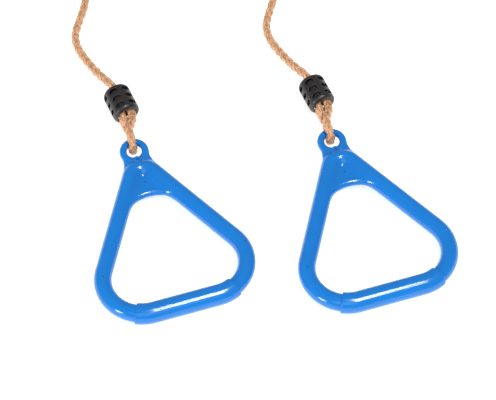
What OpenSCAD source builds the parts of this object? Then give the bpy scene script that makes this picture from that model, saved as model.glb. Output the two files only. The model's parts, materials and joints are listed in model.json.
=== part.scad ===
// A pair of triangular gymnastics rings. Each ring hangs on its own rope: a blow-moulded frame with a
// thicker grip, a rope eye covered by a slotted barrel, and a steel ring at the rope's upper end.
// Both sets lie on a flat surface with their ropes' spare length coiled behind them.
// X runs along the grips, Y from the grips to the hanging eyes, and Z up from the surface.

/* [Handle] */
// Diameter of the two legs
leg_d = 19.5; // [14:0.5:24]
// Diameter of the grip, thicker than the legs
grip_d = 23.5; // [20:0.5:30]
// Slope of the legs from the grip
leg_slope = 60.5; // [52:0.5:66]
// Length of the straight middle of the grip
grip_straight = 72.5; // [60:0.5:110]
// Bend radius of the two lower corners, at the middle of the tube
corner_r = 43; // [34:1:50]
// Bend radius of the top of the frame, at the middle of the tube
apex_r = 15; // [12:0.5:24]
// Angle round each lower corner at which the grip ends
seam_angle = 26; // [18:1:45]

/* [Web] */
// Thickness of the web that fills the top of the triangle
web_t = 7; // [4:0.5:10]
// Radius of the arch under the web, at the middle of its bead
arch_r = 49.5; // [42:0.5:50]
// Height of the arch's centre above the grip
arch_y = 96; // [90:1:104]
// Diameter of the bead along the arch
bead_d = 8; // [5:0.5:10]

/* [Eye] */
// Radius of the eye, at the middle of its rim
eye_r = 12.5; // [11:0.5:16]
// Thickness of the eye's rim
rim_d = 8; // [6:0.5:8.5]
// Distance from the top of the frame's tube to the eye's centre
eye_gap = 14; // [10:0.5:20]

/* [Rope] */
// Diameter of the rope
rope_d = 10; // [8:0.5:10]
// Radius of the coil, at the middle of its turns
coil_r = 50; // [45:1:60]
// Turns of rope side by side in each of the coil's two layers
coil_turns = 3; // [2:1:4]

/* [Covers] */
// Diameter of the barrel covers
cover_d = 31; // [29:0.5:36]
// Length of the barrel covers
cover_l = 36; // [34:1:42]
// Sideways lean of the lower cover as it lies
cover_lean = 7; // [0:1:10]
// Width of the slots round the covers
slot_w = 10; // [6:0.5:11]
// Height of the slots along the covers
slot_h = 5; // [3:0.5:6]
// Distance between the rows of slots
slot_pitch = 10; // [8:0.5:10.5]

/* [Steel ring] */
// Thickness of the steel ring's bar
bar_d = 6; // [5:0.5:8]
// Diameter of the steel ring, at the middle of its bar
hang_ring_d = 46; // [40:1:60]

/* [Pair] */
// Distance between the two sets along the grips
pair_pitch = 214; // [200:1:300]
// Distance by which the second set lies nearer
pair_stagger = 53; // [0:1:60]

/* [Hidden] */

plastic_blue = "#1E80DC";
nylon_black = "#3A3538";
rope_tan = "#CD8C64";
sleeve_black = "#201C1C";
zinc_grey = "#B9BDC0";

// Sides of the swept rope, and fineness of round solids
rope_sides = 10;
$fn = 48;

leg_r = leg_d / 2;
grip_r = grip_d / 2;
rope_r = rope_d / 2;
cover_r = cover_d / 2;
half_grip = grip_straight / 2;
// Centre of the top bend: its tube is tangent to both legs
apex_y = (half_grip * sin(leg_slope) + corner_r * cos(leg_slope) + corner_r - apex_r) / cos(leg_slope);
leg_start = [half_grip + corner_r * sin(leg_slope), corner_r + corner_r * cos(leg_slope)];
leg_end = [apex_r * sin(leg_slope), apex_y + apex_r * cos(leg_slope)];
leg_length = norm(leg_end - leg_start);
// A leg's core runs this far into the bends at its ends, so that they join as one
lap = 3;
core_r = leg_r - 2;
// The bends are a hair thinner than the legs, which keeps the circles where they meet apart
bend_tube_r = leg_r - 0.05;
// The grip's socket takes a spigot on the frame, this far round the corner
socket_angle = 15;
spigot_r = leg_r - 2;
eye_y = apex_y + apex_r + leg_r + eye_gap;
eye_hole_r = eye_r - rim_d / 2;
// The neck under the eye is a little thinner than the rim
neck_t = rim_d - 0.6;
// Middle of the eye's outer rim, which the rope loop bears on
rim_y = eye_y + eye_r;
// The handle lies on its grip and leans up to the middle of the cover
lie_angle = asin((cover_r - grip_r) / rim_y);
rim_at = [0, rim_y * cos(lie_angle), cover_r];
// Room between the rope loops and what they go round
loop_gap = 0.4;
strand_x = rope_r + 0.2;

// Top opening of the lower cover, from the middle of the eye's rim
cover_top = [2, 72.5, 0];
cover_wall = 2.5;
cover_end_r = 4.5;
mouth_r = strand_x + rope_r + 0.55;
throat_r = rope_r + 1.2;
// The rubber sleeve round the two strands nearly fills the cover, so the slots look black
sleeve_r = cover_r - cover_wall - 0.6;
sleeve_l = 22;
sleeve_gap = 0.05;
sleeve_from_mouth = 7.5;
slot_rows = 3;
slot_columns = 3;
slot_step = 60;
// The covers are turned on the rope, which puts their joint at the sides
cover_turn = -21;

// The free rope's route from the lower cover to the coil, from the middle of the eye's rim
run_route = [
    [2.3, 70, 0], [1.6, 76, 0], [0.6, 82, -0.3], [-2.2, 89, -1.2], [-6, 97, -2.5], [-9.2, 105, -3.8],
    [-14.2, 121, -6.4], [-18.7, 138, -8.6], [-20.6, 149, -9.6], [-20.7, 157, -10.1],
    [-19.6, 166, -10.5], [-16.6, 174.5, -10.5], [-12.1, 182.5, -10.5], [-6.4, 192, -10.5],
    [0.3, 203, -10.5], [6.4, 216, -10.5], [12.5, 232, -10.5], [17.5, 250, -10.5],
    [20.8, 270, -10.5], [22, 290, -10.5], [22, 310, -10.5]
];
// The coil's centre, and the rope's route from it to the upper cover
coil_at = [-38, 310];
tail_route = [
    [22, 310, -0.5], [22, 322, -1.5], [22, 335, -5], [22, 349, -9], [22, 364, -10.5],
    [22, 379, -9], [22, 393, -4.5], [22, 405, -0.5], [22, 413, 0]
];
top_cover_at = [22, 410, 0];
// The rope loop through the handle's eye, on the upper side and on the lower side of its rim
eye_loop_over = [
    [9, 59, 0], [10.3, 47, 0], [11.5, 37, 0.5], [10.5, 30, 2.5], [8, 23.5, 5.5],
    [4, 16.5, 8.2], [1, 9, 9.8]
];
eye_loop_under = [
    [1.5, 7, -9.6], [3.3, 14, -8], [2, 21.5, -5.4], [0, 29, -2.4], [1, 36, -0.4],
    [0, 46, 0], [-1.5, 58, 0]
];
// The rope loop through the steel ring, from the middle of the ring's bar
bar_at = [22, 468, -2];
top_loop_over = [[5.2, -36, 2], [5.2, -24, 2], [4.5, -17, 4.5], [2, -9, 7.5]];
top_loop_under = [[-2, -9, -7], [-4.5, -17, -1.5], [-5.2, -24, 2], [-5.2, -36, 2]];
bight_steps = 6;

// The leaning cover's shoulder reaches this far past its top opening
shoulder = cover_end_r * (1 - cos(cover_lean)) + (cover_r - cover_end_r) * sin(cover_lean);
// The two sets stand either side of the origin, which is under the middle of both
shift_y = -(rim_at[1] + cover_top[1] + shoulder - grip_r) / 2;

function unit(v) = v / norm(v);

// Direction of travel at each point of a route
function headings(route) =
    let (last = len(route) - 1)
    [for (i = [0 : last]) unit(route[min(i + 1, last)] - route[max(i - 1, 0)])];

// Rings of points square to the route, each started in the direction of up
function rings(route, r, up) =
    let (t = headings(route))
    [for (i = [0 : len(route) - 1])
        let (a = unit(up - (up * t[i]) * t[i]), b = cross(t[i], a))
        for (k = [0 : rope_sides - 1])
            route[i] + r * (cos(360 * k / rope_sides) * a + sin(360 * k / rope_sides) * b)];

// A half turn round a bar along X, from its upper side to its lower side, on the side given
function bight(r, side) =
    [for (i = [0 : bight_steps])
        let (turn = 90 - 180 * i / bight_steps)
        [0, side * r * cos(turn), r * sin(turn)]];

// Points of an arc in a flat outline
function arc(centre, r, from, to, steps = 6) =
    [for (i = [0 : steps])
        let (a = from + (to - from) * i / steps)
        centre + r * [cos(a), sin(a)]];

module swept_rope(route, up) {
    n = rope_sides;
    last = len(route) - 1;
    sides = [for (i = [0 : last - 1]) for (k = [0 : n - 1])
        [i * n + k, (i + 1) * n + k, (i + 1) * n + (k + 1) % n, i * n + (k + 1) % n]];
    start = [for (k = [0 : n - 1]) k];
    end = [for (k = [n - 1 : -1 : 0]) last * n + k];
    polyhedron(points = rings(route, rope_r, up), faces = concat([start], sides, [end]));
}

// A tube bent round a centre in the handle's plane
module bent_tube(centre, bend_r, tube_r, from, to) {
    translate([centre[0], centre[1], 0])
        rotate([0, 0, from])
            rotate_extrude(angle = to - from)
                translate([bend_r, 0])
                    circle(r = tube_r);
}

// Both mirror-image copies of what is made for the +X side
module both_sides() {
    children();
    mirror([1, 0, 0]) children();
}

module leg() {
    translate([leg_start[0], leg_start[1], 0])
        rotate([0, 0, 180 - leg_slope])
            rotate([0, 90, 0]) {
                cylinder(h = leg_length, r = leg_r);
                translate([0, 0, -lap])
                    cylinder(h = leg_length + 2 * lap, r = core_r);
            }
}

// Lower corner of the frame, from the grip's seam to the leg, with the spigot that enters the grip
module lower_corner() {
    centre = [half_grip, corner_r];
    bent_tube(centre, corner_r, bend_tube_r, seam_angle - 90, 90 - leg_slope);
    bent_tube(centre, corner_r, spigot_r, seam_angle - 90 - socket_angle + 1, seam_angle - 89);
}

module web() {
    reach = arch_r + 1;
    side = [reach * sin(leg_slope), arch_y + reach * cos(leg_slope)];
    translate([0, 0, -web_t / 2])
        linear_extrude(height = web_t)
            difference() {
                polygon([[-side[0], side[1]], side, [0, apex_y + apex_r]]);
                translate([0, arch_y])
                    circle(r = arch_r);
            }
    bent_tube([0, arch_y], arch_r, bead_d / 2, 90 - leg_slope, 90 + leg_slope);
}

module eye() {
    half_w = eye_hole_r + rim_d * 0.85;
    base_y = apex_y + apex_r;
    bent_tube([0, eye_y], eye_r, rim_d / 2, 0, 360);
    translate([0, 0, -neck_t / 2])
        linear_extrude(height = neck_t)
            difference() {
                polygon([[-half_w, eye_y], [-half_w, base_y + 12], [-half_w - 2, base_y],
                         [half_w + 2, base_y], [half_w, base_y + 12], [half_w, eye_y]]);
                translate([0, eye_y])
                    circle(r = eye_hole_r + 1);
            }
}

module frame() {
    color(plastic_blue) {
        both_sides() {
            leg();
            lower_corner();
        }
        bent_tube([0, apex_y], apex_r, bend_tube_r, 90 - leg_slope, 90 + leg_slope);
        web();
        eye();
    }
}

module grip() {
    centre = [half_grip, corner_r];
    color(plastic_blue)
        difference() {
            union() {
                both_sides()
                    bent_tube(centre, corner_r, grip_r, -90, seam_angle - 90);
                translate([-half_grip, 0, 0])
                    rotate([0, 90, 0])
                        cylinder(h = grip_straight, r = grip_r);
            }
            both_sides()
                bent_tube(centre, corner_r, spigot_r, seam_angle - 90 - socket_angle, seam_angle - 80);
        }
}

// Section of the barrel cover: its wall, from the wide mouth at zero up to the narrow throat
function cover_section() =
    let (inner_r = cover_r - cover_wall)
    concat(
        [[mouth_r, 0]],
        arc([cover_r - cover_end_r, cover_end_r], cover_end_r, -90, 0),
        arc([cover_r - cover_end_r, cover_l - cover_end_r], cover_end_r, 0, 90),
        [[throat_r, cover_l], [throat_r, cover_l - 3], [inner_r - 3, cover_l - 3],
         [inner_r, cover_l - 6], [inner_r, 5], [mouth_r, 2.5]]
    );

module slot() {
    rotate([0, 90, 0])
        union() {
            translate([-slot_h / 2, -(slot_w - slot_h) / 2, cover_r - 2 * cover_wall])
                cube([slot_h, slot_w - slot_h, 3 * cover_wall]);
            for (side = [-1, 1])
                translate([0, side * (slot_w - slot_h) / 2, cover_r - 2 * cover_wall])
                    cylinder(h = 3 * cover_wall, r = slot_h / 2, $fn = 24);
        }
}

// Half a barrel cover, with its mouth at the origin and its throat up the Z axis
module cover_half() {
    color(nylon_black)
        difference() {
            rotate_extrude(angle = 180)
                polygon(cover_section());
            for (row = [0 : slot_rows - 1]) {
                for (column = [0 : slot_columns - 1]) {
                    translate([0, 0, cover_l / 2 + (row - (slot_rows - 1) / 2) * slot_pitch])
                        rotate([0, 0, 90 + (column - (slot_columns - 1) / 2) * slot_step])
                            slot();
                }
            }
        }
}

// Flat outline that holds two strands of rope side by side
module strand_pair_outline(r) {
    square([2 * strand_x, 2 * r], center = true);
    for (side = [-1, 1])
        translate([side * strand_x, 0])
            circle(r = r);
}

// Sleeve that holds the two strands together inside a cover
module binding() {
    color(sleeve_black)
        translate([0, 0, sleeve_from_mouth])
            linear_extrude(height = sleeve_l)
                difference() {
                    circle(r = sleeve_r);
                    strand_pair_outline(rope_r + sleeve_gap);
                }
}

module rope_run() {
    color(rope_tan)
        swept_rope(run_route, [0, 0, 1]);
}

module rope_tail() {
    color(rope_tan)
        swept_rope(tail_route, [0, 0, 1]);
}

// The space that the coil's two layers of turns fill
module rope_coil() {
    low = -cover_r;
    inside = coil_r - coil_turns * rope_r;
    outside = coil_r + coil_turns * rope_r;
    outline = concat(
        arc([outside - rope_r, low + rope_r], rope_r, -90, 0),
        arc([outside - rope_r, low + 2 * rope_d - rope_r], rope_r, 0, 90),
        arc([inside + rope_r, low + 2 * rope_d - rope_r], rope_r, 90, 180),
        arc([inside + rope_r, low + rope_r], rope_r, 180, 270)
    );
    color(rope_tan)
        translate([coil_at[0], coil_at[1], 0])
            rotate_extrude()
                polygon(outline);
}

module eye_loop() {
    route = concat(eye_loop_over, bight(rim_d / 2 + rope_r + loop_gap, -1), eye_loop_under);
    color(rope_tan)
        swept_rope(route, [1, 0, 0]);
}

module top_loop() {
    route = concat(top_loop_over, bight(bar_d / 2 + rope_r + loop_gap, 1), top_loop_under);
    color(rope_tan)
        translate(bar_at)
            swept_rope(route, [1, 0, 0]);
}

// The steel ring lies with its near side in the rope loop and its far side on the surface
module hang_ring() {
    drop = cover_r + bar_at[2] - bar_d / 2;
    color(zinc_grey)
        translate(bar_at)
            rotate([-asin(drop / hang_ring_d), 0, 0])
                bent_tube([0, hang_ring_d / 2], hang_ring_d / 2, bar_d / 2, 0, 360);
}

// Places for the parts of one set
module at_handle() {
    translate([0, 0, grip_r])
        rotate([lie_angle, 0, 0])
            children();
}

module at_rim() {
    translate(rim_at) children();
}

// A cover's own axis is laid along the rope, with its mouth towards the handle
module at_cover() {
    translate(rim_at + cover_top)
        rotate([0, 0, cover_lean])
            translate([0, -cover_l, 0])
                rotate([-90, 0, 0])
                    rotate([0, 0, cover_turn])
                        children();
}

// The upper cover points the other way, with its mouth towards the steel ring
module at_top_cover() {
    translate(rim_at + top_cover_at + [0, cover_l, 0])
        rotate([90, 0, 0])
            rotate([0, 0, cover_turn])
                children();
}

module as_front() {
    rotate([0, 0, 180]) children();
}

// The rope strands in a cover lie level, so what holds them isn't turned with the cover
module level_in_cover() {
    rotate([0, 0, -cover_turn]) children();
}

module left_set() {
    translate([-pair_pitch / 2, pair_stagger / 2 + shift_y, 0]) children();
}

module right_set() {
    translate([pair_pitch / 2, -pair_stagger / 2 + shift_y, 0]) children();
}

left_set() at_handle() frame();  // left_frame
left_set() at_handle() grip();  // left_grip
left_set() at_rim() eye_loop();  // left_eye_loop
left_set() at_cover() level_in_cover() binding();  // left_binding
left_set() at_cover() as_front() cover_half();  // left_cover_front
left_set() at_cover() cover_half();  // left_cover_rear
left_set() at_rim() rope_run();  // left_rope_run
left_set() at_rim() rope_coil();  // left_rope_coil
left_set() at_rim() rope_tail();  // left_rope_tail
left_set() at_top_cover() as_front() cover_half();  // left_top_cover_front
left_set() at_top_cover() cover_half();  // left_top_cover_rear
left_set() at_top_cover() level_in_cover() binding();  // left_top_binding
left_set() at_rim() top_loop();  // left_top_loop
left_set() at_rim() hang_ring();  // left_hang_ring
right_set() at_handle() frame();  // right_frame
right_set() at_handle() grip();  // right_grip
right_set() at_rim() eye_loop();  // right_eye_loop
right_set() at_cover() level_in_cover() binding();  // right_binding
right_set() at_cover() as_front() cover_half();  // right_cover_front
right_set() at_cover() cover_half();  // right_cover_rear
right_set() at_rim() rope_run();  // right_rope_run
right_set() at_rim() rope_coil();  // right_rope_coil
right_set() at_rim() rope_tail();  // right_rope_tail
right_set() at_top_cover() as_front() cover_half();  // right_top_cover_front
right_set() at_top_cover() cover_half();  // right_top_cover_rear
right_set() at_top_cover() level_in_cover() binding();  // right_top_binding
right_set() at_rim() top_loop();  // right_top_loop
right_set() at_rim() hang_ring();  // right_hang_ring
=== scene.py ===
import json
import math

import bpy
import numpy as np
from mathutils import Matrix

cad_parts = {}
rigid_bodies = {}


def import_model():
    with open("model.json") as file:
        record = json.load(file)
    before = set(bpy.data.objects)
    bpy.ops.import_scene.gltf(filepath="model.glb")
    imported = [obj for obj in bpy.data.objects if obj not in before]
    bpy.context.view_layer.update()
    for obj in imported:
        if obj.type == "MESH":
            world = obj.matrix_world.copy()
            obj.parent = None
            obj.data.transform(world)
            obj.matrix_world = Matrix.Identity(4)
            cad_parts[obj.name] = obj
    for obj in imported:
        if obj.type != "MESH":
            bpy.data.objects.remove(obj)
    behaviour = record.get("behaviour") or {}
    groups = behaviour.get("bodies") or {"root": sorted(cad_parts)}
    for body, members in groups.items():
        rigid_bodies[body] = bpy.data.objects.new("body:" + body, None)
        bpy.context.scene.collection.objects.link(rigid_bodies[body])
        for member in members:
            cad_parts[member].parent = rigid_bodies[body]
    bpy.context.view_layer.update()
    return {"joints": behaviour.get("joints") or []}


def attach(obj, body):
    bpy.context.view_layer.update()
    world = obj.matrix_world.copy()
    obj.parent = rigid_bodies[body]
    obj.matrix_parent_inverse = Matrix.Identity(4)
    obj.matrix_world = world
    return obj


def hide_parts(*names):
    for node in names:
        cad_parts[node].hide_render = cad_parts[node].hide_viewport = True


# %% [markdown]
# # A pair of triangular gymnastics rings
# Two identical sets lie side by side on a pale surface. Each is a blue moulded handle that hangs on a
# braided rope, and a slotted black barrel covers the place where the rope's end is joined back on itself.
# The CAD model fixes every place and size. This script gives it real surfaces and finishes: smooth
# fillets in the moulding, strands that cross in the rope, and slots with softened edges in the barrels.

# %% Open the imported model
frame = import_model()

MM = 0.001
SIDES = ("left", "right")
UP = np.array([0.0, 0.0, 1.0])
ALONG_X = np.array([1.0, 0.0, 0.0])
joint_at = {j["name"]: np.array(j["pos_m"]) for j in frame["joints"] if "pos_m" in j}
# The middle of each eye's outer rim, where the rope loop bears and the handle swings
RIM = {side: joint_at[f"{side}_swing"] for side in SIDES}
print("eye rims at", {side: RIM[side].round(4).tolist() for side in SIDES})

# %% [markdown]
# ## The camera
# A product photograph of flat things is usually taken from a stand, far away with a long lens, so that
# nothing is stretched. A 180 mm lens on a full-frame sensor does that here. The picture is 0.545 m wide
# where the handles lie, and the camera stands 17 degrees to the left and 57 degrees up.

# %% Place the camera
CAMERA_AZIMUTH = math.radians(-17.4)
CAMERA_ELEVATION = math.radians(57.3)
VIEW_WIDTH = 0.5456
camera_data = bpy.data.cameras.new("camera")
camera_data.sensor_width = 36.0
camera_data.lens = 180.0
camera_data.clip_end = 50.0
camera = bpy.data.objects.new("camera", camera_data)
bpy.context.scene.collection.objects.link(camera)
bpy.context.scene.camera = camera

to_camera = np.array([
    math.sin(CAMERA_AZIMUTH) * math.cos(CAMERA_ELEVATION),
    -math.cos(CAMERA_AZIMUTH) * math.cos(CAMERA_ELEVATION),
    math.sin(CAMERA_ELEVATION),
])
camera_target = (RIM["left"] + RIM["right"]) / 2 + np.array([-4.7, -82.9, -3.5]) * MM
camera_distance = VIEW_WIDTH * camera_data.lens / camera_data.sensor_width
camera.location = (camera_target + to_camera * camera_distance).tolist()
camera.rotation_euler = (math.pi / 2 - CAMERA_ELEVATION, 0.0, CAMERA_AZIMUTH)
print(f"camera {camera_distance:.2f} m from the rings")

# %% [markdown]
# ## From arrays to meshes
# Every new surface below is a block of points worked out with numpy. A block has the shape
# (rings, points in a ring, 3), and faces join each ring to the next. Each end is either closed with one
# flat face or left to meet the first ring again. The points are put in place in the shared frame, so
# the object itself stays at the origin.


# %% Mesh helpers
def add_mesh(name, points, faces):
    """A new object from an (n, 3) array of points and a list of face index rows."""
    mesh = bpy.data.meshes.new(name)
    mesh.from_pydata(np.asarray(points, float).tolist(), [], faces)
    mesh.polygons.foreach_set("use_smooth", np.ones(len(mesh.polygons), bool))
    mesh.update()
    made = bpy.data.objects.new(name, mesh)
    bpy.context.scene.collection.objects.link(made)
    return made


def ring_faces(rings, around, closed):
    """Quads between successive rings. A closed skin joins its last ring to its first, and an open one
    has a flat face over each end ring."""
    ring = np.arange(rings if closed else rings - 1)[:, None] * around
    k = np.arange(around)[None, :]
    k_next = (k + 1) % around
    ring_next = (ring + around) % (rings * around)
    quads = np.stack([ring + k, ring + k_next, ring_next + k_next, ring_next + k], axis=-1)
    faces = quads.reshape(-1, 4).tolist()
    if not closed:
        faces.append(np.arange(around)[::-1].tolist())
        faces.append((np.arange(around) + (rings - 1) * around).tolist())
    return faces


def unit(vectors):
    """Vectors scaled to length one, along the last axis."""
    return vectors / np.linalg.norm(vectors, axis=-1, keepdims=True)


def distance_along(path):
    """Length from the start of a path to each of its points."""
    steps = np.linalg.norm(np.diff(path, axis=0), axis=1)
    return np.concatenate([[0.0], np.cumsum(steps)])


def smooth_path(points, spacing):
    """A Catmull-Rom curve through the points, cut into even steps. Between two points the curve is a
    cubic whose slope at each point is half the way from the point before to the point after."""
    p = np.vstack([2 * points[0] - points[1], points, 2 * points[-1] - points[-2]])
    t = np.linspace(0, 1, 24, endpoint=False)[None, :, None]
    a, b, c, d = (p[i:len(p) - 3 + i, None, :] for i in range(4))
    cubic = 0.5 * (2 * b + (c - a) * t + (2 * a - 5 * b + 4 * c - d) * t**2 + (3 * b - a - 3 * c + d) * t**3)
    dense = np.vstack([cubic.reshape(-1, 3), points[-1:]])
    along = distance_along(dense)
    even = np.linspace(0, along[-1], int(round(along[-1] / spacing)) + 1)
    return np.stack([np.interp(even, along, dense[:, k]) for k in range(3)], axis=1)


def smoothstep(x):
    """Zero before 0, one after 1, and an S-shaped rise between them."""
    x = np.clip(x, 0, 1)
    return x * x * (3 - 2 * x)


# %% [markdown]
# ## The ropes
# The rope is eight-plait split-film polypropylene, 10 mm thick: four strands wind one way round and
# four the other way, and each goes over two and under two of the ones that it meets. A plain tube with
# a braid bump would look flat at its outline, so the strands are modelled. Strand number k of one hand
# goes round the rope by the turn angle plus a quarter turn for each k, and its distance from the middle
# rises and falls twice a turn. The other hand turns backwards and rises where the first falls. The
# strands on top then lie in four columns along the rope, like ears of wheat, which is how such a plait
# looks. The start angle puts the line between two columns on top.
#
# The route from the lower barrel follows the curve in which the rope fell. The rest of its length is
# put away in a coil of two layers of three turns behind the handles.

# %% The route of one free rope
ROPE_D = 0.010
ROPE_STEP = 0.0015
run_route = np.array([
    [2.3, 70, 0], [1.6, 76, 0], [0.6, 82, -0.3], [-2.2, 89, -1.2], [-6, 97, -2.5], [-9.2, 105, -3.8],
    [-14.2, 121, -6.4], [-18.7, 138, -8.6], [-20.6, 149, -9.6], [-20.7, 157, -10.1],
    [-19.6, 166, -10.5], [-16.6, 174.5, -10.5], [-12.1, 182.5, -10.5], [-6.4, 192, -10.5],
    [0.3, 203, -10.5], [6.4, 216, -10.5], [12.5, 232, -10.5], [17.5, 250, -10.5],
    [20.8, 270, -10.5], [22, 290, -10.5], [22, 310, -10.5],
]) * MM
tail_route = np.array([
    [22, 310, -0.5], [22, 322, -1.5], [22, 335, -5], [22, 349, -9], [22, 364, -10.5],
    [22, 379, -9], [22, 393, -4.5], [22, 405, -0.5], [22, 413, 0],
]) * MM
COIL_AT = np.array([-38, 310]) * MM
COIL_OUTER_TURN = 0.060
COIL_TURNS = 5


def coil_route():
    """Five turns, anticlockwise from the right-hand side. The radius steps in by a rope's width late in
    turns 1 and 2, the height steps up late in turn 3, and the radius steps out again in turns 4 and 5.
    Each step comes a little earlier in its turn than the one below it, so the rope never meets itself."""
    turn = np.radians(np.arange(6, COIL_TURNS * 360, 6))

    def step(turn_number, from_degrees, to_degrees):
        start = 2 * np.pi * turn_number - np.radians(from_degrees)
        return smoothstep((turn - start) / np.radians(from_degrees - to_degrees))

    inward = step(1, 45, 0) + step(2, 90, 45) - step(4, 190, 145) - step(5, 240, 195)
    radius = COIL_OUTER_TURN - ROPE_D * inward
    height = run_route[-1, 2] + ROPE_D * step(3, 140, 95)
    return np.stack([COIL_AT[0] + radius * np.cos(turn), COIL_AT[1] + radius * np.sin(turn), height], axis=1)


free_rope = smooth_path(np.vstack([run_route, coil_route(), tail_route]), ROPE_STEP)

# %% [markdown]
# The braid is built in one go, for all eight strands. Each strand has an oval section, wider across the
# rope than it is thick. Its UV map holds the place round the strand and the distance along it in
# metres, which the rope's material uses to draw fibres, and an attribute holds the strand's number.

# %% Braid the strands
STRANDS_PER_HAND = 4
LAY_LENGTH = 0.042
WEAVE_RADIUS = 2.65 * MM
WEAVE_DEPTH = 1.0 * MM
STRAND_HALF_WIDTH = 2.3 * MM
STRAND_HALF_THICKNESS = 1.5 * MM
STRAND_SIDES = 8


def braid(name, path, sideways):
    """Strands about a path. A strand's middle is the path's point plus its distance out times a
    direction that turns about the path, and its section is an ellipse that lies flat on the rope."""
    tangent = unit(np.gradient(path, axis=0))
    across = unit(np.cross(tangent, sideways))
    lift = np.cross(across, tangent)
    turn = 2 * np.pi * distance_along(path) / LAY_LENGTH
    number = np.arange(2 * STRANDS_PER_HAND)
    hand = np.where(number < STRANDS_PER_HAND, 1.0, -1.0)[:, None]
    start = (number % STRANDS_PER_HAND)[:, None] * np.pi / 2
    angle = hand * turn + start + np.pi / 4
    out = np.cos(angle)[..., None] * across + np.sin(angle)[..., None] * lift
    distance_out = WEAVE_RADIUS + hand * WEAVE_DEPTH * np.cos(2 * (turn + start))
    middle = path + distance_out[..., None] * out
    heading = unit(np.gradient(middle, axis=1))
    out = unit(out - np.sum(out * heading, axis=-1, keepdims=True) * heading)
    flat = np.cross(out, heading)
    around = 2 * np.pi * np.arange(STRAND_SIDES) / STRAND_SIDES
    wide = (STRAND_HALF_WIDTH * np.cos(around))[None, None, :, None]
    thick = (STRAND_HALF_THICKNESS * np.sin(around))[None, None, :, None]
    points = middle[:, :, None] + wide * flat[:, :, None] + thick * out[:, :, None]

    one_strand = ring_faces(len(path), STRAND_SIDES, closed=False)
    first_point = (number * len(path) * STRAND_SIDES)[:, None, None]
    skin = (first_point + np.array(one_strand[:-2])).reshape(-1, 4).tolist()
    ends = (first_point + np.array(one_strand[-2:])).reshape(-1, STRAND_SIDES).tolist()
    rope = add_mesh(name, points.reshape(-1, 3), skin + ends)
    along = np.broadcast_to(distance_along(path)[None, :, None], points.shape[:3]).ravel()
    place_round = np.broadcast_to(np.arange(STRAND_SIDES) / STRAND_SIDES, points.shape[:3]).ravel()
    strand = np.broadcast_to(number[:, None, None], points.shape[:3]).ravel()
    corner = np.zeros(len(rope.data.loops), np.int32)
    rope.data.loops.foreach_get("vertex_index", corner)
    uv = rope.data.uv_layers.new(name="strand_uv")
    uv.data.foreach_set("uv", np.stack([place_round[corner], along[corner]], axis=1).ravel())
    attribute = rope.data.attributes.new("strand", "FLOAT", "POINT")
    attribute.data.foreach_set("value", strand.astype(float))
    print(f"{name}: {len(rope.data.polygons)} faces")
    return rope


# %% Lay both free ropes
for side in SIDES:
    path = free_rope + RIM[side]
    rope = braid(f"{side}_rope", path, UP)
    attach(rope, f"{side}_rope")
    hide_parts(f"{side}_rope_run", f"{side}_rope_coil", f"{side}_rope_tail")

# %% [markdown]
# ## The rope loops
# At the lower end the rope goes through the handle's eye and turns back into the barrel. One strand
# crosses over the other on the way, comes down through the eye from above, and returns under the rim.
# At the upper end it goes round the bar of the steel ring in the same way. The turn itself is half a
# circle about the bar or rim, and the strands on either side of it are smooth curves.

# %% Make the loops
RIM_D = 0.008
BAR_D = 0.006
LOOP_GAP = 0.0004
BAR_FROM_RIM = np.array([22, 468, -2]) * MM
eye_loop_over = np.array([
    [9, 59, 0], [10.3, 47, 0], [11.5, 37, 0.5], [10.5, 30, 2.5], [8, 23.5, 5.5],
    [4, 16.5, 8.2], [1, 9, 9.8],
]) * MM
eye_loop_under = np.array([
    [1.5, 7, -9.6], [3.3, 14, -8], [2, 21.5, -5.4], [0, 29, -2.4], [1, 36, -0.4],
    [0, 46, 0], [-1.5, 58, 0],
]) * MM
top_loop_over = np.array([[5.2, -36, 2], [5.2, -24, 2], [4.5, -17, 4.5], [2, -9, 7.5]]) * MM
top_loop_under = np.array([[-2, -9, -7], [-4.5, -17, -1.5], [-5.2, -24, 2], [-5.2, -36, 2]]) * MM


def bight(bar_d, direction):
    """Half a turn round a bar along X, from its upper side to its lower side."""
    radius = bar_d / 2 + ROPE_D / 2 + LOOP_GAP
    turn = np.radians(90 - 180 * np.arange(7) / 6)
    return np.stack([0 * turn, direction * radius * np.cos(turn), radius * np.sin(turn)], axis=1)


eye_loop = smooth_path(np.vstack([eye_loop_over, bight(RIM_D, -1), eye_loop_under]), MM)
top_loop = smooth_path(np.vstack([top_loop_over, bight(BAR_D, 1), top_loop_under]), MM)
for side in SIDES:
    lower = braid(f"{side}_eye_loop_rope", eye_loop + RIM[side], ALONG_X)
    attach(lower, f"{side}_hanger")
    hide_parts(f"{side}_eye_loop")
    upper = braid(f"{side}_top_loop_rope", top_loop + RIM[side] + BAR_FROM_RIM, ALONG_X)
    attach(upper, f"{side}_rope")
    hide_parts(f"{side}_top_loop")


# %% [markdown]
# ## Surfaces from a distance
# The handle's frame and the barrels are mouldings: tubes, plates and holes run into each other with
# soft fillets. A profile carried along a path can't make such a joint. So these pieces are described by
# a distance, which is negative inside the plastic and positive outside, and simple shapes are joined
# with a smooth minimum that rounds the corner between them. A surface net then turns the distance
# into a mesh: every small cell that the surface passes through gets one point, and every grid edge that
# it crosses gets one face of four points. The points are last moved onto the exact surface.


# %% Smooth joins and the surface net
def smooth_union(a, b, width):
    """The smaller of two distances, rounded where they are within a width of each other."""
    h = np.clip(0.5 + 0.5 * (b - a) / width, 0, 1)
    return b + (a - b) * h - width * h * (1 - h)


def smooth_cut(solid, hole, width):
    """A solid's distance with a hole taken out of it, and the hole's edge rounded."""
    return -smooth_union(-solid, hole, width)


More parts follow.
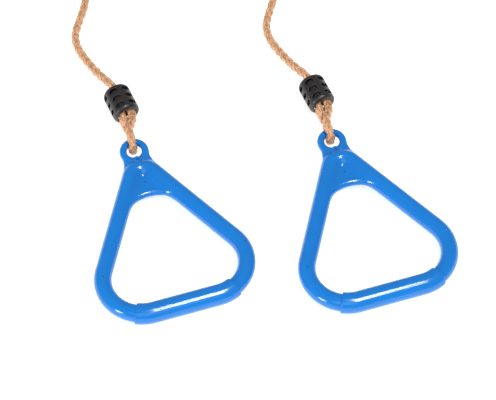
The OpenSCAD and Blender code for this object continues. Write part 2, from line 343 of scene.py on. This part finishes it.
def mean_of_neighbours(points, faces):
    """Each point's neighbours' mean, from the faces' edges."""
    edges = np.vstack([faces[:, [i, (i + 1) % 4]] for i in range(4)])
    total = np.zeros_like(points)
    count = np.zeros(len(points))
    np.add.at(total, edges[:, 0], points[edges[:, 1]])
    np.add.at(count, edges[:, 0], 1)
    return total / count[:, None]


def settle(points, distance, step):
    """Moves points onto the surface, down the distance's own slope."""
    small = 0.02 * step
    for _ in range(3):
        slope = np.stack([
            (distance(points + small * np.eye(3)[k]) - distance(points - small * np.eye(3)[k])) / (2 * small)
            for k in range(3)
        ], axis=1)
        length = np.sum(slope**2, axis=1, keepdims=True)
        points = points - np.clip(distance(points)[:, None] * slope / np.maximum(length, 0.1), -step, step)
    return points


def surface_net(distance, low, high, step):
    """Points and four-sided faces on the zero level of a distance, between two corners."""
    axes = [np.arange(lo - 2 * step, hi + 2 * step, step) for lo, hi in zip(low, high)]
    start = np.array([axis[0] for axis in axes])
    field = distance(np.stack(np.meshgrid(*axes, indexing="ij"), axis=-1))
    inside = field < 0
    cells = tuple(n - 1 for n in field.shape)
    total = np.zeros(cells + (3,))
    count = np.zeros(cells)
    for axis in range(3):
        for one, two in ((0, 0), (0, 1), (1, 0), (1, 1)):
            corner = np.insert([one, two], axis, 0)
            far = np.insert([one, two], axis, 1)
            near_cut = tuple(slice(c, c + n) for c, n in zip(corner, cells))
            far_cut = tuple(slice(c, c + n) for c, n in zip(far, cells))
            a, b = field[near_cut], field[far_cut]
            crossed = inside[near_cut] != inside[far_cut]
            share = np.where(crossed, a / np.where(crossed, a - b, 1), 0)
            total += crossed[..., None] * corner
            total[..., axis] += share
            count += crossed
    used = count > 0
    number = np.full(cells, -1)
    number[used] = np.arange(used.sum())
    points = start + step * (np.argwhere(used) + total[used] / count[used][:, None])

    faces = []
    for axis in range(3):
        a, b = (np.moveaxis(x, axis, 0) for x in (inside, number))
        crossing = np.argwhere(a[:-1, 1:-1, 1:-1] != a[1:, 1:-1, 1:-1])
        i, j, k = crossing[:, 0], crossing[:, 1] + 1, crossing[:, 2] + 1
        quad = np.stack([b[i, j - 1, k - 1], b[i, j, k - 1], b[i, j, k], b[i, j - 1, k]], axis=1)
        # Bringing Y to the front mirrors the grid, so its faces are turned round
        outward = ~a[i, j, k] if axis == 1 else a[i, j, k]
        faces.append(np.where(outward[:, None], quad, quad[:, ::-1]))
    faces = np.vstack(faces)
    for _ in range(3):
        points = settle(points + 0.5 * (mean_of_neighbours(points, faces) - points), distance, step)
    return points, faces


# %% [markdown]
# ## The handle's frame
# The frame is one blow-moulded piece: two legs of 19.5 mm tube, the top bend, a web with a rounded bead
# along its arch, and an eye like the rim of a cup handle. In the frame's own plane U runs along the
# grip, V from the grip to the eye, and W is square to both. Its distance is worked out in millimetres.

# %% The frame's shape
LEG_R = 9.75
GRIP_R = 11.75
HALF_GRIP = 36.25
CORNER_R = 43.0
APEX_R = 15.0
SLOPE = math.radians(60.5)
SEAM = math.radians(26)
APEX_V = (HALF_GRIP * math.sin(SLOPE) + CORNER_R * math.cos(SLOPE) + CORNER_R - APEX_R) / math.cos(SLOPE)
LEG_START = np.array([HALF_GRIP + CORNER_R * math.sin(SLOPE), CORNER_R * (1 + math.cos(SLOPE))])
LEG_END = np.array([APEX_R * math.sin(SLOPE), APEX_V + APEX_R * math.cos(SLOPE)])
EYE_R = 12.5
EYE_RIM_R = 4.0
EYE_V = APEX_V + APEX_R + LEG_R + 14
RIM_V = EYE_V + EYE_R
ARCH_V = 96.0
ARCH_R = 49.5
BEAD_R = 4.0
WEB_HALF = 3.5
NECK_HALF = 15.2
NECK_FLARE = 2.0
NECK_BASE = 26.0
WEB_FILLET = 5.0
NECK_FILLET = 3.5
COVER_R = 15.5
LIE = math.asin((COVER_R - GRIP_R) / RIM_V)


def arc_distance(u, v, centre, radius, low, high):
    """Distance in the plane to an arc, or far away outside its angles."""
    x, y = u - centre[0], v - centre[1]
    angle = np.arctan2(y, x)
    return np.where((angle > low) & (angle < high), np.abs(np.hypot(x, y) - radius), 1e3)


def handle_distance(p):
    """Tubes about the centreline of the legs and bends, joined smoothly to the web, bead, neck and eye.
    The two sides mirror each other, so U is taken without its sign."""
    u, v, w = np.abs(p[..., 0]), p[..., 1], p[..., 2]
    leg = LEG_END - LEG_START
    share = np.clip(((u - LEG_START[0]) * leg[0] + (v - LEG_START[1]) * leg[1]) / (leg @ leg), 0, 1)
    centreline = np.hypot(u - LEG_START[0] - share * leg[0], v - LEG_START[1] - share * leg[1])
    corner = (HALF_GRIP, CORNER_R)
    ending = SEAM - math.pi / 2 - 0.08
    end = (corner[0] + CORNER_R * math.cos(ending), corner[1] + CORNER_R * math.sin(ending))
    for flat in (
        arc_distance(u, v, corner, CORNER_R, ending, math.pi / 2 - SLOPE),
        arc_distance(u, v, (0, APEX_V), APEX_R, math.pi / 2 - SLOPE - 0.01, math.pi),
        np.hypot(u - end[0], v - end[1]),
    ):
        centreline = np.minimum(centreline, flat)
    tube = np.hypot(centreline, w) - LEG_R

    from_arch = np.hypot(u, v - ARCH_V)
    beyond_leg = (u - LEG_START[0]) * math.sin(SLOPE) + (v - LEG_START[1]) * math.cos(SLOPE)
    below = ARCH_V + 0.42 * ARCH_R - v
    outline = np.maximum(np.maximum(ARCH_R - from_arch, beyond_leg), below)
    web = np.maximum(outline, np.abs(w) - WEB_HALF)
    bead = np.maximum(np.hypot(from_arch - ARCH_R, w) - BEAD_R, below)
    shape = smooth_union(tube, smooth_union(web, bead, 2.0), WEB_FILLET)

    from_eye = np.hypot(u, v - EYE_V)
    eye = np.hypot(from_eye - EYE_R, w) - EYE_RIM_R
    half_neck = NECK_HALF + NECK_FLARE * np.exp(-((v - EYE_V + 20) / 6) ** 2)
    neck = np.maximum(np.maximum(u - half_neck, EYE_V - NECK_BASE - v), v - EYE_V)
    neck = np.maximum(neck, EYE_R - from_eye)
    neck = smooth_cut(np.abs(w) - EYE_RIM_R, -neck, 3.0)
    return smooth_union(shape, smooth_union(eye, neck, 2.0), NECK_FILLET)


def lay_handle(points, side):
    """From millimetres in the handle's plane to its place: tilted up from the grip to the eye."""
    u, v, w = np.asarray(points).T * MM
    along = v - RIM_V * MM
    y = along * math.cos(LIE) - w * math.sin(LIE)
    z = along * math.sin(LIE) + w * math.cos(LIE)
    return RIM[side] + np.stack([u, y, z], axis=1)


frame_points, frame_faces = surface_net(handle_distance, (-92, -6, -13), (92, 222, 13), 1.25)
print(f"frame: {len(frame_points)} points")

# %% [markdown]
# Where the hot plastic was let into the mould, and where pins pushed the frame out, it keeps small round
# pits. They are drilled out of the mesh with a boolean, because they are too small for the net.

# %% Drill the pits and place the frames
PIT_R = 1.15
PIT_DEPTH = 1.6
PITS = ((-78, 52, 9.6), (82, 52, 8.8), (0, 158.5, 3.5), (0, 188.5, 4.0))


def disc_skin(radii, heights, around):
    """Rings about the W axis: a profile of radii at heights, turned once round."""
    angle = 2 * np.pi * np.arange(around) / around
    rings = np.stack([
        np.outer(radii, np.cos(angle)), np.outer(radii, np.sin(angle)),
        np.broadcast_to(np.asarray(heights, float)[:, None], (len(radii), around)),
    ], axis=-1)
    return rings.reshape(-1, 3), ring_faces(len(radii), around, closed=False)


def apply_modifiers(made):
    """Replaces an object's mesh by what its modifiers give."""
    evaluated = made.evaluated_get(bpy.context.evaluated_depsgraph_get())
    finished = bpy.data.meshes.new_from_object(evaluated)
    made.modifiers.clear()
    made.data = finished


for side in SIDES:
    body = add_mesh(f"{side}_frame_moulding", lay_handle(frame_points, side), frame_faces.tolist())
    for pit in PITS:
        radii = [0.6 * PIT_R, PIT_R, PIT_R, 0.7 * PIT_R]
        points, faces = disc_skin(radii, [-PIT_DEPTH, 0.35 - PIT_DEPTH, 2, 2.3], 24)
        drill = add_mesh("drill", lay_handle(points + np.array(pit), side), faces)
        cut = body.modifiers.new("pit", "BOOLEAN")
        cut.operation = "DIFFERENCE"
        cut.object = drill
        cut.solver = "EXACT"
    bpy.context.view_layer.update()
    apply_modifiers(body)
    for drill in [o for o in bpy.data.objects if o.name.startswith("drill")]:
        bpy.data.objects.remove(drill)
    body.data.set_sharp_from_angle(angle=math.radians(50))
    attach(body, f"{side}_handle")
    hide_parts(f"{side}_frame")

# %% [markdown]
# ## The grip
# The grip is a thicker sleeve moulded over the frame's lower ends. It is a circle carried along the bow:
# a straight middle and a bend at each end. Its radius drops in a quarter round at each end, which
# leaves the small step that can be felt where the grip starts.

# %% Carry the grip along its bow
GRIP_EDGE = 1.2
GRIP_AROUND = 64


def bow(s):
    """Middle and heading at a distance s from the grip's centre: straight, then turning evenly."""
    angle = np.maximum(np.abs(s) - HALF_GRIP, 0) / CORNER_R
    side = np.sign(s)
    u = np.clip(s, -HALF_GRIP, HALF_GRIP) + side * CORNER_R * np.sin(angle)
    middle = np.stack([u, CORNER_R * (1 - np.cos(angle)), 0 * s], axis=1)
    return middle, np.stack([np.cos(angle), side * np.sin(angle), 0 * s], axis=1)


half_bow = HALF_GRIP + CORNER_R * SEAM
edge_turn = np.radians(np.linspace(0, 90, 9))
edge_s = half_bow - GRIP_EDGE * (1 - np.cos(edge_turn))
edge_r = GRIP_R - GRIP_EDGE * (1 - np.sin(edge_turn))
inner_s = np.linspace(half_bow - GRIP_EDGE, 0, 60)[1:]
end_s = np.concatenate([[half_bow - 1, half_bow], edge_s, inner_s])
end_r = np.concatenate([[LEG_R - 1.5, LEG_R - 1.0], edge_r, np.full(len(inner_s), GRIP_R)])
grip_s = np.concatenate([-end_s, end_s[-2::-1]])
grip_r = np.concatenate([end_r, end_r[-2::-1]])
middle, heading = bow(grip_s)
w_axis = np.array([0.0, 0.0, 1.0])
outward = np.cross(heading, w_axis)
angle = (2 * np.pi * np.arange(GRIP_AROUND) / GRIP_AROUND)[None, :, None]
rings = middle[:, None] + grip_r[:, None, None] * (np.cos(angle) * w_axis + np.sin(angle) * outward[:, None])
grip_faces = ring_faces(len(grip_s), GRIP_AROUND, closed=False)
for side in SIDES:
    grip = add_mesh(f"{side}_grip_sleeve", lay_handle(rings.reshape(-1, 3), side), grip_faces)
    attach(grip, f"{side}_handle")
    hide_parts(f"{side}_grip")
print(f"grip: {len(grip_s)} rings of {GRIP_AROUND}")

# %% [markdown]
# ## The barrels
# Each barrel is two half shells of nylon, clipped over the rope's join. Three rows of slots go right
# through the 2.5 mm wall, and the rubber sleeve inside shows through them; its near-black colour is
# painted shade for the slots. The distance is that of a rounded cylinder with a rounded hollow, mouth
# and throat taken out, and the slots are folded: the angle is brought back into one sixth of a turn
# and the height to the nearest row, so one slot's sum cuts all.

# %% The barrel's shape, in millimetres with its mouth at zero
COVER_L = 36.0
COVER_EDGE = 4.5
COVER_WALL = 2.5
HOLLOW_EDGE = 3.0
MOUTH_WALL = 3.5
MOUTH_R = 10.75
THROAT_WALL = 3.0
THROAT_R = 6.2
SLOT_W = 10.0
SLOT_H = 5.0
SLOT_PITCH = 10.0
SLOT_STEP = math.radians(60)
COVER_LEAN = math.radians(7)
COVER_TURN = math.radians(-21)
COVER_TOP_FROM_RIM = np.array([2, 72.5, 0]) * MM
TOP_COVER_FROM_RIM = np.array([22, 410, 0]) * MM


def rounded_cylinder(radial, along, radius, low, high, edge):
    """Distance to a cylinder between two heights, with its edges rounded."""
    across = radial - (radius - edge)
    beyond = np.abs(along - (low + high) / 2) - ((high - low) / 2 - edge)
    outside = np.hypot(np.maximum(across, 0), np.maximum(beyond, 0))
    return outside + np.minimum(np.maximum(across, beyond), 0) - edge


def barrel_distance(p):
    """The half of the barrel on the side where Y is more than zero. The wall is a rounded cylinder less
    a smaller one. The mouth and the throat are bored out of its two ends. A slot is a flat capsule: the
    distance from a short line along it, less half its height. Each part that is taken out is the greater
    of the solid's distance and minus its own, with the edge between them rounded."""
    x, y, along = p[..., 0], p[..., 1], p[..., 2]
    radial = np.hypot(x, y)
    solid = rounded_cylinder(radial, along, COVER_R, 0, COVER_L, COVER_EDGE)
    hollow = rounded_cylinder(
        radial, along, COVER_R - COVER_WALL, MOUTH_WALL, COVER_L - THROAT_WALL, HOLLOW_EDGE)
    mouth = np.maximum(radial - MOUTH_R, along - COVER_L / 2)
    throat = np.maximum(radial - THROAT_R, COVER_L / 2 - along)
    fold = np.mod(np.arctan2(y, x) - math.pi / 2 + SLOT_STEP / 2, SLOT_STEP) - SLOT_STEP / 2
    row = np.clip(np.round((along - COVER_L / 2) / SLOT_PITCH), -1, 1)
    from_row = along - COVER_L / 2 - row * SLOT_PITCH
    from_middle = np.maximum(np.abs(radial * np.sin(fold)) - (SLOT_W - SLOT_H) / 2, 0)
    slots = np.maximum(np.hypot(from_middle, from_row) - SLOT_H / 2, COVER_R / 2 - radial)
    solid = smooth_cut(solid, hollow, 0.4)
    solid = smooth_cut(solid, smooth_union(mouth, throat, 0.1), 1.2)
    solid = smooth_cut(solid, slots, 0.7)
    return smooth_cut(solid, y - 0.08, 0.35)


def turned(points, axis, angle):
    """Points turned about the X axis (0) or the Z axis (2), anticlockwise seen from the axis's far end."""
    first, second = [k for k in range(3) if k != axis]
    made = points.copy()
    made[:, first] = points[:, first] * math.cos(angle) - points[:, second] * math.sin(angle)
    made[:, second] = points[:, first] * math.sin(angle) + points[:, second] * math.cos(angle)
    return made


def lay_lower_cover(points, side, half_turn):
    """Mouth towards the handle, and leaning as the rope does."""
    laid = turned(turned(points, 2, COVER_TURN + half_turn), 0, -math.pi / 2) - [0, COVER_L, 0]
    return RIM[side] + COVER_TOP_FROM_RIM + turned(laid, 2, COVER_LEAN) * MM


def lay_top_cover(points, side, half_turn):
    """Mouth towards the steel ring."""
    laid = turned(turned(points, 2, COVER_TURN + half_turn), 0, math.pi / 2) + [0, COVER_L, 0]
    return RIM[side] + TOP_COVER_FROM_RIM + laid * MM


# %% Mould the barrels
barrel_points, barrel_faces = surface_net(barrel_distance, (-16, -1, 0), (16, 16, COVER_L), 0.55)
print(f"barrel half: {len(barrel_points)} points")
top_covers = {side: [] for side in SIDES}
for side in SIDES:
    for node, place, body, half_turn in (
        (f"{side}_cover_rear", lay_lower_cover, f"{side}_hanger", 0),
        (f"{side}_cover_front", lay_lower_cover, f"{side}_hanger", math.pi),
        (f"{side}_top_cover_rear", lay_top_cover, f"{side}_rope", 0),
        (f"{side}_top_cover_front", lay_top_cover, f"{side}_rope", math.pi),
    ):
        half = add_mesh(f"{node}_shell", place(barrel_points, side, half_turn), barrel_faces.tolist())
        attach(half, body)
        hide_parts(node)
        if "top" in node:
            top_covers[side].append(half)

# %% [markdown]
# ## The steel rings
# The ring at the rope's upper end hangs on the swing frame's hook. It is bent from 6 mm bar and butt
# welded: a circle carried round a circle, whose bar swells a little at the weld. It lies with one side
# in the rope loop and the other on the surface.

# %% Bend the steel rings
RING_R = 23.0
BAR_R = 3.0
RING_STEPS = 120
BAR_STEPS = 28
WELD_SWELL = 0.35
WELD_HALF_ANGLE = 0.09


def steel_ring():
    """Points of a ring about the W axis, its near side at the origin. The bar is thicker by a small
    bell-shaped bump about the weld, a quarter of the way round."""
    turn = 2 * np.pi * np.arange(RING_STEPS)[:, None] / RING_STEPS
    around = 2 * np.pi * np.arange(BAR_STEPS)[None, :] / BAR_STEPS
    from_weld = np.abs(turn - np.pi / 2)
    bar = BAR_R + WELD_SWELL * np.exp(-((from_weld / WELD_HALF_ANGLE) ** 2))
    out = RING_R + bar * np.cos(around)
    points = np.stack([out * np.cos(turn), RING_R + out * np.sin(turn), -bar * np.sin(around)], axis=-1)
    return points.reshape(-1, 3)


drop = (COVER_R - 2 - BAR_R) / (2 * RING_R)
for side in SIDES:
    placed = RIM[side] + BAR_FROM_RIM + turned(steel_ring(), 0, -math.asin(drop)) * MM
    ring = add_mesh(f"{side}_hang_ring_bar", placed, ring_faces(RING_STEPS, BAR_STEPS, closed=True))
    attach(ring, f"{side}_steel_ring")
    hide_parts(f"{side}_hang_ring")

# %% [markdown]
# ## Materials
# Each finish starts from what the real one is. Colours are written as sRGB hex values and turned to
# linear once, and one small function adds a node, sets it and links it. A noise pattern's scale is one
# over the size of its spots, and a mix node's inputs 0, 6 and 7 are its share and its two colours.


# %% Node and colour helpers
def linear(hex_colour):
    """A hex sRGB colour as linear RGBA: each channel above a small toe is raised to the power 2.4."""
    srgb = np.array([int(hex_colour[i:i + 2], 16) / 255 for i in (1, 3, 5)])
    channels = np.where(srgb <= 0.04045, srgb / 12.92, ((srgb + 0.055) / 1.055) ** 2.4)
    return (*channels.tolist(), 1.0)


def add(tree, kind, inputs, **settings):
    """Adds a node. Each input is either a value or another node's output socket."""
    node = tree.nodes.new(kind)
    for key, value in settings.items():
        setattr(node, key, value)
    for key, value in inputs.items():
        if isinstance(value, bpy.types.NodeSocket):
            tree.links.new(value, node.inputs[key])
        else:
            node.inputs[key].default_value = value
    return node


def new_material(name, colour, **values):
    """A material with one shader, whose even values sit on its own sockets."""
    material = bpy.data.materials.new(name)
    material.use_nodes = True
    shader = material.node_tree.nodes["Principled BSDF"]
    shader.inputs["Base Color"].default_value = linear(colour)
    for key, value in values.items():
        shader.inputs[key.replace("_", " ")].default_value = value
    return material, material.node_tree, shader


# %% [markdown]
# Polypropylene comes out of a polished mould with a bright gloss and a soft skin: the colour goes a
# little way into it, and it has a very slight unevenness from shrinking. The colour drifts by a few
# parts in a hundred over a couple of centimetres, and the palms of hands leave finer scratches.

# %% Moulded blue polypropylene
DRIFT_SIZE = 22 * MM
SCRATCH_SIZE = 1.1 * MM
SHRINK_SIZE = 4.5 * MM
moulded_blue, tree, shader = new_material("moulded_blue_polypropylene", "#036FC2", IOR=1.49, Roughness=0.14)
place = add(tree, "ShaderNodeTexCoord", {}).outputs["Object"]
drift = add(tree, "ShaderNodeTexNoise", {"Vector": place, "Scale": 1 / DRIFT_SIZE, "Detail": 2.0})
two_blues = {0: drift.outputs["Fac"], 6: linear("#016CBB"), 7: linear("#0376CB")}
blue = add(tree, "ShaderNodeMix", two_blues, data_type="RGBA")
tree.links.new(blue.outputs[2], shader.inputs["Base Color"])
scratches = add(tree, "ShaderNodeTexNoise", {"Vector": place, "Scale": 1 / SCRATCH_SIZE, "Detail": 3.0})
gloss = add(tree, "ShaderNodeMapRange", {"Value": scratches.outputs["Fac"], "To Min": 0.1, "To Max": 0.19})
tree.links.new(gloss.outputs["Result"], shader.inputs["Roughness"])
shrink = add(tree, "ShaderNodeTexNoise", {"Vector": place, "Scale": 1 / SHRINK_SIZE, "Detail": 1.0})
uneven = add(tree, "ShaderNodeBump", {"Height": shrink.outputs["Fac"], "Strength": 0.06, "Distance": 0.0005})
tree.links.new(uneven.outputs["Normal"], shader.inputs["Normal"])

# %% [markdown]
# Nylon for such barrels is moulded in a spark-eroded tool, which leaves a fine satin grain. The grain
# is about 0.1 mm on the real part, and is drawn at 0.55 mm so that it shows.

# %% Moulded black nylon
GRAIN_SIZE = 0.55 * MM
black_nylon, tree, shader = new_material("moulded_black_nylon", "#231F21", IOR=1.53, Roughness=0.38)
place = add(tree, "ShaderNodeTexCoord", {}).outputs["Object"]
grain = add(tree, "ShaderNodeTexNoise", {"Vector": place, "Scale": 1 / GRAIN_SIZE, "Detail": 2.0})
two_blacks = {0: grain.outputs["Fac"], 6: linear("#0F0C0D"), 7: linear("#221D1F")}
black = add(tree, "ShaderNodeMix", two_blacks, data_type="RGBA")
tree.links.new(black.outputs[2], shader.inputs["Base Color"])
satin = add(tree, "ShaderNodeMapRange", {"Value": grain.outputs["Fac"], "To Min": 0.28, "To Max": 0.45})
tree.links.new(satin.outputs["Result"], shader.inputs["Roughness"])
eroded = add(tree, "ShaderNodeBump", {"Height": grain.outputs["Fac"], "Strength": 0.35, "Distance": 0.0002})
tree.links.new(eroded.outputs["Normal"], shader.inputs["Normal"])

# %% [markdown]
# The rope's strands are bundles of split film: flat ribbons of polypropylene, slit into fibres. They
# shine along their length, and their colour differs from fibre to fibre. The pattern reads the
# strand's own UV map, so the fibres follow each strand. Real fibres are 0.05 mm wide. These are drawn
# about 0.4 mm wide, 28 to a strand's way round, and 6.25 mm long.

# %% Braided split-film polypropylene
FIBRES_ROUND = 28
FIBRE_LENGTH = 6.25 * MM
FIBRE_SLANT = 0.12
rope_look = {"IOR": 1.49, "Roughness": 0.34}
rope_finish, tree, shader = new_material("braided_split_film_polypropylene", "#D29A70", **rope_look)
uv = add(tree, "ShaderNodeUVMap", {}, uv_map="strand_uv").outputs["UV"]
strand = add(tree, "ShaderNodeAttribute", {}, attribute_name="strand").outputs["Fac"]
stretch = {"Scale": (FIBRES_ROUND, 1 / FIBRE_LENGTH, 1.0), "Rotation": (0.0, 0.0, FIBRE_SLANT)}
stretched = add(tree, "ShaderNodeMapping", {"Vector": uv, **stretch})
own_place = add(tree, "ShaderNodeCombineXYZ", {"Z": strand})
shifted = add(tree, "ShaderNodeVectorMath", {0: stretched.outputs["Vector"], 1: own_place.outputs["Vector"]})
fibres = add(tree, "ShaderNodeTexNoise", {"Vector": shifted.outputs["Vector"], "Scale": 1.0, "Detail": 3.0})
middle_values = {"Value": fibres.outputs["Fac"], "From Min": 0.34, "From Max": 0.62}
contrast = add(tree, "ShaderNodeMapRange", middle_values)
two_tans = {0: contrast.outputs["Result"], 6: linear("#5E2E14"), 7: linear("#FFC797")}
tan = add(tree, "ShaderNodeMix", two_tans, data_type="RGBA")
tree.links.new(tan.outputs[2], shader.inputs["Base Color"])
ridges = add(tree, "ShaderNodeBump", {"Height": fibres.outputs["Fac"], "Strength": 1.0, "Distance": 0.0008})
tree.links.new(ridges.outputs["Normal"], shader.inputs["Normal"])

# %% [markdown]
# Bright zinc plate on steel is a pale metal with a slight blue cast and fine mottling from the bath. The
# rubber sleeve inside each barrel is only seen through the slots: dull and a little uneven, and near
# black as painted shade for the slots.

# %% Zinc-plated steel and rubber sleeve, near black as painted slot shade
MOTTLE_SIZE = 1.65 * MM
WRINKLE_SIZE = 2 * MM
zinc, tree, shader = new_material("bright_zinc_plated_steel", "#BFC4C8", Metallic=1.0, Roughness=0.26)
place = add(tree, "ShaderNodeTexCoord", {}).outputs["Object"]
mottle = add(tree, "ShaderNodeTexNoise", {"Vector": place, "Scale": 1 / MOTTLE_SIZE, "Detail": 3.0})
two_greys = {0: mottle.outputs["Fac"], 6: linear("#AEB4BA"), 7: linear("#D2D5D6")}
grey = add(tree, "ShaderNodeMix", two_greys, data_type="RGBA")
tree.links.new(grey.outputs[2], shader.inputs["Base Color"])
dull = add(tree, "ShaderNodeMapRange", {"Value": mottle.outputs["Fac"], "To Min": 0.18, "To Max": 0.36})
tree.links.new(dull.outputs["Result"], shader.inputs["Roughness"])

# The sleeve's near-black colour is painted shade: it stands in for the shade deep in the barrel's slots.
sleeve_painted_slot_shade, tree, shader = new_material("moulded_black_rubber", "#141213", IOR=1.52, Roughness=0.55)
place = add(tree, "ShaderNodeTexCoord", {}).outputs["Object"]
wrinkle = add(tree, "ShaderNodeTexNoise", {"Vector": place, "Scale": 1 / WRINKLE_SIZE, "Detail": 2.0})
creased = add(tree, "ShaderNodeBump", {"Height": wrinkle.outputs["Fac"], "Strength": 0.4, "Distance": 0.0004})
tree.links.new(creased.outputs["Normal"], shader.inputs["Normal"])
two_slot_shade_blacks = {0: wrinkle.outputs["Fac"], 6: linear("#0E0C0D"), 7: linear("#1C191A")}
slot_shade_black = add(tree, "ShaderNodeMix", two_slot_shade_blacks, data_type="RGBA")
tree.links.new(slot_shade_black.outputs[2], shader.inputs["Base Color"])

# %% Give every piece its finish
FINISHES = (
    ("frame_moulding", moulded_blue), ("grip_sleeve", moulded_blue), ("shell", black_nylon),
    ("rope", rope_finish), ("hang_ring_bar", zinc), ("binding", sleeve_painted_slot_shade),
)
for made in list(bpy.data.objects):
    for ending, finish in FINISHES:
        if made.type == "MESH" and made.name.endswith(ending):
            if not made.data.materials:
                made.data.materials.append(finish)
            for held in made.material_slots:
                held.material = finish

# %% [markdown]
# ## The studio
# A product on white lies on a light table: a sheet of opal acrylic that glows from below, so it takes
# the shadows away. A long strip light runs from front to back overhead, and its reflection is the white
# line along each grip. A smaller light stands low at the front left, and one large soft light near the
# camera fills the rest.

# %% Floor, surroundings and lights
floor = add_mesh("floor", [[-3, -3, 0], [3, -3, 0], [3, 3, 0], [-3, 3, 0]], [[0, 1, 2, 3]])
glow = {"Emission_Color": (1.0, 1.0, 1.0, 1.0), "Emission_Strength": 0.6}
opal_acrylic, tree, shader = new_material("glowing_opal_acrylic", "#F8F8F8", Roughness=0.8, **glow)
floor.data.materials.append(opal_acrylic)

world = bpy.data.worlds.new("studio")
world.use_nodes = True
world.node_tree.nodes["Background"].inputs["Color"].default_value = (1.0, 1.0, 1.0, 1.0)
world.node_tree.nodes["Background"].inputs["Strength"].default_value = 0.42
bpy.context.scene.world = world
bpy.context.scene.view_settings.view_transform = "Standard"


def soft_light(name, direction, distance, size, radiance):
    """A rectangular soft light that faces the rings. Its first side is level and square to Y, and its
    power in watts is pi times the area times the brightness of its face."""
    toward = unit(np.array(direction, float))
    first = unit(np.cross([0, 1, 0], toward))
    data = bpy.data.lights.new(name, "AREA")
    data.shape = "RECTANGLE"
    data.size, data.size_y = size
    data.energy = math.pi * size[0] * size[1] * radiance
    made = bpy.data.objects.new(name, data)
    bpy.context.scene.collection.objects.link(made)
    made.location = (camera_target + toward * distance).tolist()
    facing = Matrix(np.stack([first, np.cross(toward, first), toward], axis=1).tolist())
    made.rotation_euler = facing.to_euler()


soft_light("overhead strip", (0.165, -0.22, 0.96), 12, (1.5, 6.0), 36)
soft_light("front left light", (-0.86, -0.44, 0.25), 6, (1.8, 1.2), 20)
soft_light("large fill", (-0.25, -0.75, 0.85), 2.0, (1.3, 0.9), 1.2)
